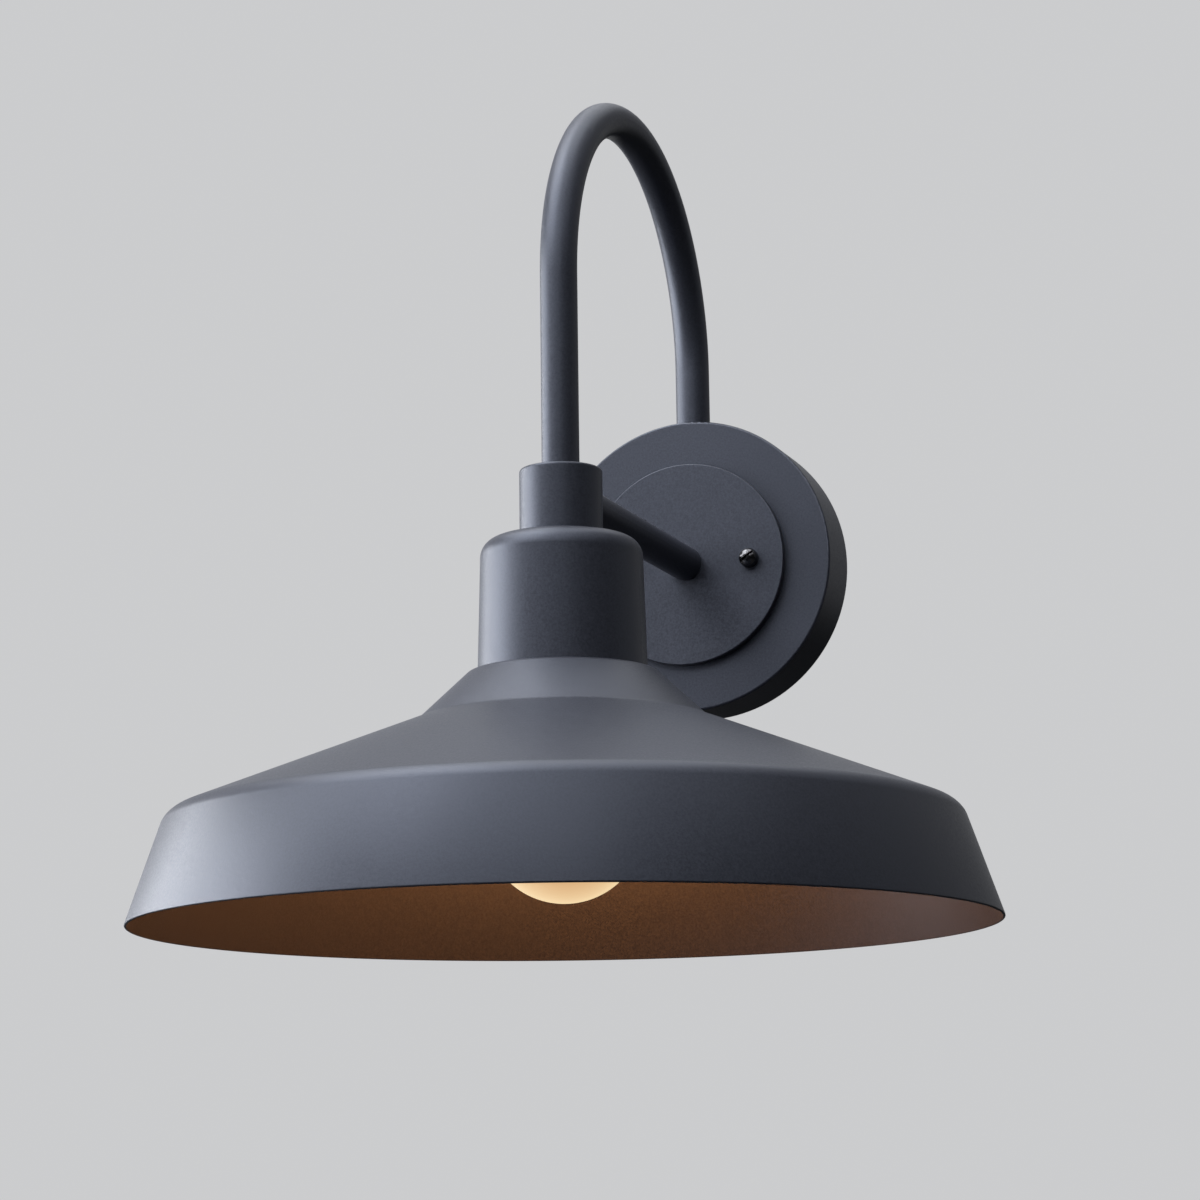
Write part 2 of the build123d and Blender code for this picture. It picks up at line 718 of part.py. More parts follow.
# Two leads: from a terminal up the stem, over the hoop inside the arm and into a wire nut in the plate
lead_rest = socket_top + lead_radius + thread_fit
lead_end = terminal_offset + terminal_screw_radius
lead_turn = arm_end - wire_nut_drop
nut_mouth = lead_offset + lead_bend + wire_nut_gap
lead_tip = nut_mouth + wire_in_nut
for side, lead_name in ((1, "live_lead"), (-1, "neutral_lead")):
    lead_x = side * lead_offset
    with BuildPart() as lead:
        with BuildLine() as lead_route:
            with BuildLine(lamp_section):
                FilletPolyline(
                    (side * lead_end, lead_rest),
                    (lead_x, lead_rest),
                    (lead_x, hoop_foot),
                    radius=(lead_bend,),
                )
            with BuildLine(Plane.YZ.offset(lead_x)):
                hoop_arcs()
            with BuildLine(wall_plane(-back_leg_depth)):
                FilletPolyline(
                    (lead_x, hoop_foot),
                    (lead_x, lead_turn),
                    (side * lead_tip, lead_turn),
                    radius=(lead_bend,),
                )
        with BuildSketch(
            Plane(origin=(side * lead_end, -reach, lead_rest), z_dir=(-side, 0, 0))
        ):
            Circle(lead_radius)
        sweep(path=lead_route.wires()[0])
    lead.part.label = lead_name
    export_step(lead.part, f"parts/{lead_name}.step")

# Three wire nuts: a cone round each lead's bare end, closed at its tip
nut_seats = (
    (Plane(origin=(nut_mouth, -back_leg_depth, lead_turn), z_dir=(1, 0, 0)), lead_radius),
    (Plane(origin=(-nut_mouth, -back_leg_depth, lead_turn), z_dir=(-1, 0, 0)), lead_radius),
    (Plane(origin=(ground_wire_x, ground_nut_mouth, ground_nut_z), z_dir=(0, -1, 0)), ground_wire_radius),
)
with BuildPart() as wire_nuts:
    for seat, wire_radius in nut_seats:
        with BuildSketch(seat):
            Circle(wire_nut_radius)
        with BuildSketch(seat.offset(wire_nut_length)):
            Circle(wire_nut_tip_radius)
        loft()
        with BuildSketch(seat):
            Circle(wire_radius + slip)
        extrude(amount=wire_in_nut + slip, mode=Mode.SUBTRACT)
wire_nuts.part.label = "wire_nuts"
export_step(wire_nuts.part, "parts/wire_nuts.step")

# Bulb globe: a frosted shell with a round belly and a flatter dome, open at its neck
with BuildPart() as bulb_globe:
    with BuildSketch(lamp_section):
        with BuildLine():
            dome = ThreePointArc(
                (0, bulb_bottom),
                (bulb_dome_edge / 2, dome_height(bulb_dome_edge / 2)),
                (bulb_dome_edge, dome_height(bulb_dome_edge)),
            )
            Spline(
                dome @ 1,
                (bulb_radius, bulb_belly),
                (bulb_neck_radius, bulb_neck),
                tangents=(dome % 1, (-1, 3)),
            )
            Polyline((bulb_neck_radius, bulb_neck), (0, bulb_neck), (0, bulb_bottom))
        make_face()
    revolve(axis=lamp_axis)
    neck_face = bulb_globe.faces().sort_by(Axis.Z)[-1]
    offset(amount=-bulb_glass, openings=neck_face)
bulb_globe.part.label = "bulb_globe"
export_step(bulb_globe.part, "parts/bulb_globe.step")

# Bulb housing: a hollow plastic cup from the cap to the globe's neck, closed by a ledge for the board
with BuildPart() as bulb_housing:
    with BuildSketch(lamp_section):
        with BuildLine():
            Polyline(
                (cap_radius - bulb_cap_sheet - slip, cap_bottom + bulb_housing_sleeve),
                (cap_radius - bulb_cap_sheet - slip, cap_bottom),
                (bulb_collar_radius, cap_bottom),
                (bulb_collar_radius, bulb_collar_bottom),
                (bulb_neck_radius, bulb_neck),
                (bulb_neck_radius - bulb_glass, bulb_neck),
                (bulb_neck_radius - bulb_glass - bulb_housing_wall, bulb_neck),
                (bulb_collar_radius - bulb_housing_wall, bulb_collar_bottom - bulb_housing_wall),
                (bulb_collar_radius - 2 * bulb_housing_wall - bulb_cap_sheet, cap_bottom),
                (bulb_collar_radius - 2 * bulb_housing_wall - bulb_cap_sheet, cap_bottom + bulb_housing_sleeve),
                close=True,
            )
        make_face()
    revolve(axis=lamp_axis)
bulb_housing.part.label = "bulb_housing"
export_step(bulb_housing.part, "parts/bulb_housing.step")

# Screw cap: a thin sleeve with an outer thread and a hole in its top for the insulator
cap_thread_height = bulb_cap_length - bulb_cap_thread_start - 2 * thread_width
with BuildPart() as bulb_cap:
    with BuildSketch(level_plane(cap_bottom)):
        Circle(cap_radius)
        Circle(cap_radius - bulb_cap_sheet, mode=Mode.SUBTRACT)
    extrude(amount=cap_top - cap_bottom)
    with BuildLine():
        cap_helix = Helix(
            thread_pitch,
            cap_thread_height,
            cap_radius,
            center=(0, -reach, cap_bottom + thread_width),
        )
    with BuildSketch(Plane(origin=cap_helix @ 0, x_dir=(1, 0, 0), z_dir=cap_helix % 0)):
        with BuildLine():
            Polyline(
                (-bulb_cap_sheet / 2, thread_width / 2),
                (thread_height, thread_width / 5),
                (thread_height, -thread_width / 5),
                (-bulb_cap_sheet / 2, -thread_width / 2),
                close=True,
            )
        make_face()
    sweep(path=cap_helix, is_frenet=True)
bulb_cap.part.label = "bulb_cap"
export_step(bulb_cap.part, "parts/bulb_cap.step")

# Insulator: a cone that closes the cap and carries the tip contact
with BuildPart() as bulb_insulator:
    with BuildSketch(level_plane(cap_top)):
        Circle(cap_radius)
    with BuildSketch(level_plane(cap_top + bulb_insulator_height)):
        Circle(bulb_contact_radius + bulb_insulator_land)
    loft()
bulb_insulator.part.label = "bulb_insulator"
export_step(bulb_insulator.part, "parts/bulb_insulator.step")

# Tip contact: a low button
with BuildPart() as bulb_contact:
    with BuildSketch(level_plane(bulb_tip - bulb_contact_height)):
        Circle(bulb_contact_radius)
    extrude(amount=bulb_contact_height)
    fillet(bulb_contact.edges().group_by(Axis.Z)[-1], radius=bulb_contact_round)
bulb_contact.part.label = "bulb_contact"
export_step(bulb_contact.part, "parts/bulb_contact.step")

# Light board across the globe's neck, below the housing's open end
with BuildPart() as bulb_led_board:
    with BuildSketch(level_plane(bulb_neck - board_thickness)):
        Circle(led_board_radius)
    extrude(amount=board_thickness)
bulb_led_board.part.label = "bulb_led_board"
export_step(bulb_led_board.part, "parts/bulb_led_board.step")

# Driver board standing on the light board inside the housing
with BuildPart() as bulb_driver_board:
    with BuildSketch(Plane(origin=(0, -reach, bulb_neck), z_dir=(0, 0, 1))):
        Rectangle(driver_board_width, board_thickness)
    extrude(amount=driver_board_height)
bulb_driver_board.part.label = "bulb_driver_board"
export_step(bulb_driver_board.part, "parts/bulb_driver_board.step")
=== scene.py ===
# %% [markdown]
# # A gooseneck wall light
# This lesson dresses a finished CAD model: a round wall plate, a hooped tube arm with a straight brace,
# and a flared metal shade over a lit bulb. The CAD model gives every size and place. Here each visible
# surface gets its finish, the pieces that deserve a finer form are modelled again, and the stage is lit.
# Everything is in metres: X runs to the right along the plate, -Y points out of its face and Z points up.

import math

import bmesh
import bpy
from mathutils import Matrix, Vector


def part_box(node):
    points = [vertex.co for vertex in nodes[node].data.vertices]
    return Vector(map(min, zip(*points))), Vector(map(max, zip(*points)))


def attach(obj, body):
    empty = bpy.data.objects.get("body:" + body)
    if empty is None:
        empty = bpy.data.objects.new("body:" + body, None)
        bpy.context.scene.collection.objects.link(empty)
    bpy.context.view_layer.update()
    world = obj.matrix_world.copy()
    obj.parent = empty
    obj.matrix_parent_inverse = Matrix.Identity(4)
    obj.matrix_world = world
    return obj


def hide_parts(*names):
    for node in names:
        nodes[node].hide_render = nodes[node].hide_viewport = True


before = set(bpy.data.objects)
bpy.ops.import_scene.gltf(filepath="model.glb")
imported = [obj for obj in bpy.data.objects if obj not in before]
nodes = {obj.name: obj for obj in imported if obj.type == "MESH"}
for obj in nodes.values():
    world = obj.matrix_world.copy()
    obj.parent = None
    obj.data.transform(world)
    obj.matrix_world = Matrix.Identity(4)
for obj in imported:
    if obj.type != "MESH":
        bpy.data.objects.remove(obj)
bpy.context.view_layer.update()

# %% [markdown]
# ## Camera
# The photograph is taken from below and from the right, with a long lens. The place, the turn and the lens
# were found by fitting the rim's ellipse, the round plate and the tubes, so the camera is written down as
# a place, three angles and a focal length. A helper turns the angles into the camera's own axes.

# %% Camera
CAMERA_PLACE = (0.45406, -1.37724, -0.29297)
CAMERA_YAW = math.radians(20.271)
CAMERA_PITCH = math.radians(11.025)
CAMERA_ROLL = math.radians(-0.744)
CAMERA_LENS = 93.377
CAMERA_SENSOR = 36
CAMERA_NEAR = 0.01


def camera_axes(yaw, pitch, roll):
    """Columns of a camera's rotation for a turn to the left, a tilt up and a roll."""
    forward = Vector((-math.sin(yaw) * math.cos(pitch), math.cos(yaw) * math.cos(pitch), math.sin(pitch)))
    level = Vector((math.cos(yaw), math.sin(yaw), 0))
    upright = level.cross(forward)
    right = level * math.cos(roll) + upright * math.sin(roll)
    up = upright * math.cos(roll) - level * math.sin(roll)
    return Matrix((right, up, -forward)).transposed()


camera_data = bpy.data.cameras.new("photo_camera")
camera_data.lens = CAMERA_LENS
camera_data.sensor_width = CAMERA_SENSOR
camera_data.clip_start = CAMERA_NEAR
camera = bpy.data.objects.new("photo_camera", camera_data)
camera_turn = camera_axes(CAMERA_YAW, CAMERA_PITCH, CAMERA_ROLL)
camera.matrix_world = Matrix.Translation(CAMERA_PLACE) @ camera_turn.to_4x4()
bpy.context.scene.collection.objects.link(camera)
bpy.context.scene.camera = camera
print("camera lens:", camera_data.lens)

# %% [markdown]
# ## Stage
# The satin coat mirrors what lies behind the light wherever it is seen at a flat angle: the top of the shade
# and the sides of the tubes turn paler there. A built backdrop would hide the plate's open back, so the world
# takes its place. Behind the light it is pale, more so on the left, where the main light comes from, and not
# below the horizon, where the shade's own shadow would fall. In front it is dim. Each of these changes is a
# soft step along one direction, and one step can end in the next.

# %% World
bpy.context.scene.view_settings.view_transform = "Standard"
PALE = (0.97, 0.98, 1.0)
BEHIND_LEFT = 0.52
BEHIND_RIGHT = 0.24
IN_FRONT = 0.03
LEFT_TO_RIGHT = (-0.15, 0.15)
BELOW_TO_ABOVE = (-0.30, -0.10)
FRONT_TO_BACK = (-0.05, 0.30)
world = bpy.data.worlds.new("pale_behind_the_light")
bpy.context.scene.world = world
world.use_nodes = True
world_tree = world.node_tree
world_tree.nodes.clear()


def smooth_fade(tree, value, span, low, high):
    """A soft step from low to high over a span of the value; high is a number or another step."""
    fade = tree.nodes.new("ShaderNodeMapRange")
    fade.interpolation_type = "SMOOTHSTEP"
    fade.inputs["From Min"].default_value = span[0]
    fade.inputs["From Max"].default_value = span[1]
    fade.inputs["To Min"].default_value = low
    if isinstance(high, float):
        fade.inputs["To Max"].default_value = high
    else:
        tree.links.new(high, fade.inputs["To Max"])
    tree.links.new(value, fade.inputs["Value"])
    return fade.outputs["Result"]


world_coords = world_tree.nodes.new("ShaderNodeTexCoord")
direction = world_tree.nodes.new("ShaderNodeSeparateXYZ")
world_tree.links.new(world_coords.outputs["Generated"], direction.inputs[0])
across = smooth_fade(world_tree, direction.outputs["X"], LEFT_TO_RIGHT, BEHIND_LEFT, BEHIND_RIGHT)
upward = smooth_fade(world_tree, direction.outputs["Z"], BELOW_TO_ABOVE, IN_FRONT, across)
world_strength = smooth_fade(world_tree, direction.outputs["Y"], FRONT_TO_BACK, IN_FRONT, upward)
surroundings = world_tree.nodes.new("ShaderNodeBackground")
surroundings.inputs["Color"].default_value = (*PALE, 1)
world_tree.links.new(world_strength, surroundings.inputs["Strength"])
print("world: behind", BEHIND_LEFT, "to", BEHIND_RIGHT, "in front", IN_FRONT)

# %% [markdown]
# ### Backdrop
# Behind everything, the camera sees one plain grey. A light path node tells its rays, and those that pass
# through something clear, from the rays that light the object, so the grey adds no light of its own.

# %% Backdrop
BACKGROUND = (0.60, 0.605, 0.615)
backdrop = world_tree.nodes.new("ShaderNodeBackground")
backdrop.inputs["Color"].default_value = (*BACKGROUND, 1)
world_path = world_tree.nodes.new("ShaderNodeLightPath")
seen_ray = world_tree.nodes.new("ShaderNodeMath")
seen_ray.operation = "MAXIMUM"
world_pick = world_tree.nodes.new("ShaderNodeMixShader")
world_out = world_tree.nodes.new("ShaderNodeOutputWorld")
world_tree.links.new(world_path.outputs["Is Camera Ray"], seen_ray.inputs[0])
world_tree.links.new(world_path.outputs["Is Transmission Ray"], seen_ray.inputs[1])
world_tree.links.new(seen_ray.outputs[0], world_pick.inputs[0])
world_tree.links.new(surroundings.outputs[0], world_pick.inputs[1])
world_tree.links.new(backdrop.outputs[0], world_pick.inputs[2])
world_tree.links.new(world_pick.outputs[0], world_out.inputs[0])
print("backdrop:", BACKGROUND)

# %% [markdown]
# ## Floor
# The light hangs in the air, so the floor lies well below it. It is one large square, which isn't part
# of the light.

# %% Floor
FLOOR_HEIGHT = -0.75
FLOOR_REACH = 40
floor_bm = bmesh.new()
floor_place = Matrix.Translation((0, 0, FLOOR_HEIGHT))
bmesh.ops.create_grid(floor_bm, x_segments=1, y_segments=1, size=FLOOR_REACH, matrix=floor_place)
floor_mesh = bpy.data.meshes.new("floor")
floor_bm.to_mesh(floor_mesh)
floor_bm.free()
floor = bpy.data.objects.new("floor", floor_mesh)
bpy.context.scene.collection.objects.link(floor)
print("floor at", FLOOR_HEIGHT)

# %% [markdown]
# ### Floor paint
# The floor is pale where the camera sees it, but it sends little light back up, so the shade's inside keeps
# the bulb's own colour. Its underside is clear, because a wall light is often seen from below.

# %% Floor paint
FLOOR_BOUNCE = 0.05
FLOOR_PAINT = 0.16
FLOOR_LIFT = 0.95
floor_paint = bpy.data.materials.new("floor_paint")
floor_paint.use_nodes = True
floor_tree = floor_paint.node_tree
floor_tree.nodes.clear()
lift = floor_tree.nodes.new("ShaderNodeEmission")
lift.inputs["Color"].default_value = (*BACKGROUND, 1)
lift.inputs["Strength"].default_value = FLOOR_LIFT
seen_floor = floor_tree.nodes.new("ShaderNodeAddShader")
floor_pick = floor_tree.nodes.new("ShaderNodeMixShader")
for target, grey in ((floor_pick.inputs[1], FLOOR_BOUNCE), (seen_floor.inputs[0], FLOOR_PAINT)):
    paint = floor_tree.nodes.new("ShaderNodeBsdfDiffuse")
    paint.inputs["Color"].default_value = (grey, grey, grey, 1)
    floor_tree.links.new(paint.outputs[0], target)
floor_path = floor_tree.nodes.new("ShaderNodeLightPath")
floor_side = floor_tree.nodes.new("ShaderNodeNewGeometry")
clear = floor_tree.nodes.new("ShaderNodeBsdfTransparent")
one_sided = floor_tree.nodes.new("ShaderNodeMixShader")
floor_out = floor_tree.nodes.new("ShaderNodeOutputMaterial")
floor_tree.links.new(lift.outputs[0], seen_floor.inputs[1])
floor_tree.links.new(seen_floor.outputs[0], floor_pick.inputs[2])
floor_tree.links.new(floor_path.outputs["Is Camera Ray"], floor_pick.inputs[0])
floor_tree.links.new(floor_side.outputs["Backfacing"], one_sided.inputs[0])
floor_tree.links.new(floor_pick.outputs[0], one_sided.inputs[1])
floor_tree.links.new(clear.outputs[0], one_sided.inputs[2])
floor_tree.links.new(one_sided.outputs[0], floor_out.inputs[0])
floor_mesh.materials.append(floor_paint)
print("floor paint nodes:", len(floor_tree.nodes))

# %% [markdown]
# ## Light
# The light in the photograph comes from large soft sources on the left, so the lamps are areas: points would
# draw hard streaks on the satin coat. A bank of light close to the plane of the plate draws the bright left
# edges of the tubes, the cup and the skirt, and softer ones above it shape the cone and the top of the cup.
# The right side stays dark, with one faint lamp. Each lamp is given by its compass turn round the object and
# its height above the horizon, both in degrees, its width and height in metres, and its power in watts.

# %% Studio lamps
DAYLIGHT = (0.95, 0.97, 1.0)
LAMP_HEART = Vector((0, -0.19, -0.05))
LAMP_DISTANCE = 2.1
SOFTBOXES = {
    "left_bank": (-88, 3, 2.1, 1.5, 60),
    "left_front_box": (-62, 10, 1.5, 1.5, 18),
    "upper_left_box": (-45, 52, 1.6, 1.8, 41),
    "left_high_box": (-90, 62, 1.4, 1.2, 13),
    "overhead_box": (0, 86, 1.5, 1.5, 17),
    "front_box": (0, 38, 2.2, 1.2, 19),
    "back_high_box": (180, 62, 1.4, 1.2, 6),
    "right_high_box": (60, 50, 1.5, 1.5, 6),
}


def softbox(name, compass, height, width, tall, power):
    """A soft lamp round the object: compass 0 is in front, -90 on the left; the camera doesn't see it."""
    box_data = bpy.data.lights.new(name, "AREA")
    box_data.shape = "RECTANGLE"
    box_data.size = width
    box_data.size_y = tall
    box_data.energy = power
    box_data.color = DAYLIGHT
    turn = math.radians(compass)
    rise = math.radians(height)
    outward = Vector((math.sin(turn) * math.cos(rise), -math.cos(turn) * math.cos(rise), math.sin(rise)))
    facing = (-outward).to_track_quat("-Z", "Y").to_matrix().to_4x4()
    lamp = bpy.data.objects.new(name, box_data)
    lamp.matrix_world = Matrix.Translation(LAMP_HEART + LAMP_DISTANCE * outward) @ facing
    lamp.visible_camera = False
    bpy.context.scene.collection.objects.link(lamp)


for box_name, box_values in SOFTBOXES.items():
    softbox(box_name, *box_values)
print("softboxes:", len(SOFTBOXES))

# %% [markdown]
# ### Spot behind the plate
# The plate is open at its back, and these lamps hardly reach in there. A narrow spot straight behind it shows
# the bar and the wiring. Its beam is worked out from the plate's own radius, less the lamp's radius and a
# margin, so that no light slips past the rim and reaches anything in front.

# %% Spot behind the plate
SPOT_DISTANCE = 0.9
SPOT_RADIUS = 0.006
SPOT_POWER = 26
SPOT_SOFTNESS = 0.2
BEAM_MARGIN = 0.003
beam_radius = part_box("backplate")[1][0] - SPOT_RADIUS - BEAM_MARGIN
spot_data = bpy.data.lights.new("plate_back_spot", "SPOT")
spot_data.energy = SPOT_POWER
spot_data.color = DAYLIGHT
spot_data.shadow_soft_size = SPOT_RADIUS
spot_data.spot_size = 2 * math.atan(beam_radius / SPOT_DISTANCE)
spot_data.spot_blend = SPOT_SOFTNESS
back_spot = bpy.data.objects.new("plate_back_spot", spot_data)
back_spot.location = (0, SPOT_DISTANCE, 0)
back_spot.rotation_euler = (-math.pi / 2, 0, 0)
bpy.context.scene.collection.objects.link(back_spot)
print("spot beam in degrees:", round(math.degrees(spot_data.spot_size), 1))

# %% [markdown]
# ## Finishes
# Each finish is a small node tree read in Object coordinates, so the grain has a real size in metres. One
# helper starts a tree and keeps the finish under its name, and one adds a noise to it.

# %% Finish helpers
finishes = {}


def new_finish(name):
    """A node material, kept by name: gives its shader, its tree and its object coordinates."""
    finish = bpy.data.materials.new(name)
    finish.use_nodes = True
    finishes[name] = finish
    tree = finish.node_tree
    coords = tree.nodes.new("ShaderNodeTexCoord")
    return tree.nodes["Principled BSDF"], tree, coords.outputs["Object"]


def grain(tree, coords, scale, detail, roughness=0.55):
    """A noise of a given number of bumps a metre."""
    noise = tree.nodes.new("ShaderNodeTexNoise")
    noise.inputs["Scale"].default_value = scale
    noise.inputs["Detail"].default_value = detail
    noise.inputs["Roughness"].default_value = roughness
    tree.links.new(coords, noise.inputs["Vector"])
    return noise.outputs["Fac"]


print("helpers:", new_finish.__name__, grain.__name__)

# %% [markdown]
# ### From noise to surface
# A noise becomes a number for the roughness, a colour, or the surface's height. Most of a noise lies between
# 0.3 and 0.7, so that span is stretched to the full change of the number or the colour.

# %% Noise helpers
NOISE_SPAN = (0.3, 0.7)


def spread(tree, factor, limits):
    """A noise factor turned into a number between two limits."""
    remap = tree.nodes.new("ShaderNodeMapRange")
    remap.inputs["From Min"].default_value = NOISE_SPAN[0]
    remap.inputs["From Max"].default_value = NOISE_SPAN[1]
    remap.inputs["To Min"].default_value = limits[0]
    remap.inputs["To Max"].default_value = limits[1]
    tree.links.new(factor, remap.inputs["Value"])
    return remap.outputs["Result"]


def tint(tree, factor, dark, light, span=NOISE_SPAN):
    """A factor turned into a colour between dark and light."""
    ramp = tree.nodes.new("ShaderNodeValToRGB")
    for stop, position, colour in zip(ramp.color_ramp.elements, span, (dark, light)):
        stop.position = position
        stop.color = (*colour, 1)
    tree.links.new(factor, ramp.inputs["Fac"])
    return ramp.outputs["Color"]


def relief(tree, shader, layers):
    """Bump from (factor, depth in metres) layers, stacked one on the other."""
    below = None
    for factor, depth in layers:
        bump = tree.nodes.new("ShaderNodeBump")
        bump.inputs["Distance"].default_value = depth
        tree.links.new(factor, bump.inputs["Height"])
        if below is not None:
            tree.links.new(below, bump.inputs["Normal"])
        below = bump.outputs["Normal"]
    tree.links.new(below, shader.inputs["Normal"])


print("noise span:", NOISE_SPAN)

# %% [markdown]
# ### Powder coat
# The light's metal is sprayed with a satin charcoal powder that is baked on. It is nearly black with a
# little blue, and seen close up it is a fine salt and pepper of melted grains over a slow orange peel. A
# flat dark paint would look like plastic: a speckle in colour and roughness, and two sizes of bump, make it
# a coat.

# %% Powder coat
COAT_DARK = (0.017, 0.018, 0.024)
COAT_LIGHT = (0.030, 0.032, 0.042)
COAT_SPECKLE_SPAN = (0.34, 0.66)
COAT_ROUGHNESS = (0.34, 0.50)
COAT_SPECULAR = 0.62
COAT_MIRROR_TINT = (0.74, 0.81, 1.0)
PEEL_SCALE = 400
PEEL_DEPTH = 0.00003
DUST_SCALE = 1100
DUST_DEPTH = 0.000022


def powder_coat(name):
    """Satin paint: the dust speckles its colour and its gloss, and dust and peel raise its surface."""
    shader, tree, coords = new_finish(name)
    shader.inputs["Specular IOR Level"].default_value = COAT_SPECULAR
    shader.inputs["Specular Tint"].default_value = (*COAT_MIRROR_TINT, 1)
    peel = grain(tree, coords, PEEL_SCALE, detail=2, roughness=0.5)
    dust = grain(tree, coords, DUST_SCALE, detail=2, roughness=0.75)
    speckle = tint(tree, dust, COAT_DARK, COAT_LIGHT, COAT_SPECKLE_SPAN)
    tree.links.new(speckle, shader.inputs["Base Color"])
    tree.links.new(spread(tree, dust, COAT_ROUGHNESS), shader.inputs["Roughness"])
    relief(tree, shader, [(peel, PEEL_DEPTH), (dust, DUST_DEPTH)])


powder_coat("charcoal_coat")
print("coat:", list(finishes))

# %% [markdown]
# ### Metals
# The screw heads in the plate are dark and polished; the hidden hardware is zinc plated, brass or bare
# copper, and the bulb's cap is rolled aluminium. All of them are brushed or turned, so a fine noise varies
# their colour and roughness. The cap's roughness hardly varies, because smoother spots on it would mirror
# its dark surroundings as black specks. A row gives the dark and the light colour, the limits of the
# roughness, and the grains a metre.

# %% Metals
METAL_DEPTH = 0.000003
METALS = {
    "dark_screw": ((0.10, 0.10, 0.105), (0.13, 0.13, 0.135), (0.16, 0.22), 2600),
    "zinc_plate": ((0.42, 0.43, 0.45), (0.58, 0.59, 0.60), (0.28, 0.42), 700),
    "spun_brass": ((0.62, 0.45, 0.20), (0.76, 0.58, 0.28), (0.22, 0.36), 700),
    "bare_copper": ((0.62, 0.30, 0.18), (0.78, 0.42, 0.27), (0.25, 0.40), 700),
    "rolled_aluminium": ((0.66, 0.66, 0.67), (0.78, 0.78, 0.79), (0.37, 0.40), 700),
}


def metal(name, dark, light, roughness, scale):
    """A metal with fine changes of colour and roughness."""
    shader, tree, coords = new_finish(name)
    shader.inputs["Metallic"].default_value = 1
    fine = grain(tree, coords, scale, detail=4)
    tree.links.new(tint(tree, fine, dark, light), shader.inputs["Base Color"])
    tree.links.new(spread(tree, fine, roughness), shader.inputs["Roughness"])
    relief(tree, shader, [(fine, METAL_DEPTH)])


for metal_name, metal_values in METALS.items():
    metal(metal_name, *metal_values)
print("metals:", list(METALS))

# %% [markdown]
# ### Glaze, plastics and foam
# The socket is glazed porcelain, the wires have matte insulation, and the foam ring is full of tiny cells.
# These finishes differ only in their numbers, so one function makes them all. A row gives the dark and the
# light colour, the limits of the roughness, the grains a metre, the depth of the grain, and the weight of a
# clear glaze on top.

# %% Glaze, plastics and foam
BODY_COLOURS = {
    "porcelain": ((0.80, 0.78, 0.74), (0.86, 0.85, 0.82), (0.18, 0.28), 160, 0.00003, 0.5),
    "black_insulation": ((0.015, 0.015, 0.016), (0.03, 0.03, 0.03), (0.45, 0.6), 600, 0.00002, 0),
    "white_insulation": ((0.70, 0.70, 0.67), (0.80, 0.80, 0.78), (0.45, 0.6), 600, 0.00002, 0),
    "orange_plastic": ((0.68, 0.24, 0.03), (0.82, 0.33, 0.05), (0.3, 0.42), 300, 0.00003, 0),
    "white_plastic": ((0.80, 0.80, 0.79), (0.86, 0.86, 0.85), (0.4, 0.5), 500, 0.00002, 0),
    "black_glass": ((0.012, 0.012, 0.013), (0.025, 0.025, 0.026), (0.1, 0.2), 300, 0.00002, 0),
    "foam": ((0.02, 0.02, 0.02), (0.05, 0.05, 0.05), (0.85, 0.95), 1600, 0.0003, 0),
    "board_laminate": ((0.66, 0.70, 0.66), (0.78, 0.80, 0.76), (0.4, 0.5), 400, 0.00002, 0),
    "green_paint": ((0.03, 0.24, 0.08), (0.05, 0.32, 0.11), (0.25, 0.35), 300, 0.00002, 0),
}


def body_colour(name, dark, light, roughness, scale, depth, glaze):
    """A non-metal with a noise in its colour, its roughness and its height."""
    shader, tree, coords = new_finish(name)
    fine = grain(tree, coords, scale, detail=3)
    tree.links.new(tint(tree, fine, dark, light), shader.inputs["Base Color"])
    tree.links.new(spread(tree, fine, roughness), shader.inputs["Roughness"])
    shader.inputs["Coat Weight"].default_value = glaze
    relief(tree, shader, [(fine, depth)])


for body_name, body_values in BODY_COLOURS.items():
    body_colour(body_name, *body_values)
print("other finishes:", list(BODY_COLOURS))

# %% [markdown]
# ### Lit globe
# The bulb's frosted globe glows warm. An even glow would look like a flat disc. Frosted glass is a little
# paler towards its edge, where the eye looks along more lit glass, so the glow is graded with a facing
# factor.

# %% Lit globe
FROST_DARK = (0.40, 0.36, 0.30)
FROST_LIGHT = (0.46, 0.42, 0.35)
FROST_ROUGHNESS = (0.45, 0.6)
FROST_SCALE = 120
GLOW_MIDDLE = (0.64, 0.36, 0.155)
GLOW_EDGE = (0.90, 0.68, 0.39)
GLOW_SPAN = (0.20, 0.85)
GLOW_STRENGTH = 1.0
EDGE_BLEND = 0.5


def lit_frost(name):
    """Frosted glass that glows, paler towards its edge."""
    shader, tree, coords = new_finish(name)
    speckle = grain(tree, coords, FROST_SCALE, detail=2)
    tree.links.new(tint(tree, speckle, FROST_DARK, FROST_LIGHT), shader.inputs["Base Color"])
    tree.links.new(spread(tree, speckle, FROST_ROUGHNESS), shader.inputs["Roughness"])
    edge = tree.nodes.new("ShaderNodeLayerWeight")
    edge.inputs["Blend"].default_value = EDGE_BLEND
    glow = tint(tree, edge.outputs["Facing"], GLOW_MIDDLE, GLOW_EDGE, GLOW_SPAN)
    tree.links.new(glow, shader.inputs["Emission Color"])
    shader.inputs["Emission Strength"].default_value = GLOW_STRENGTH


lit_frost("lit_frost")
print("finishes in all:", len(finishes))

# %% [markdown]
# ## Turned pieces
# The shade is spun from a disc of sheet metal, and the globe is blown in a round mould, so both are bodies of
# revolution. The same happens here: a half section of a few points is drawn beside the lamp's axis, its
# corners are rounded, and spin carries it right round. The seam is merged before the normals are made to
# point outwards, because a spun shell can come out inside out.

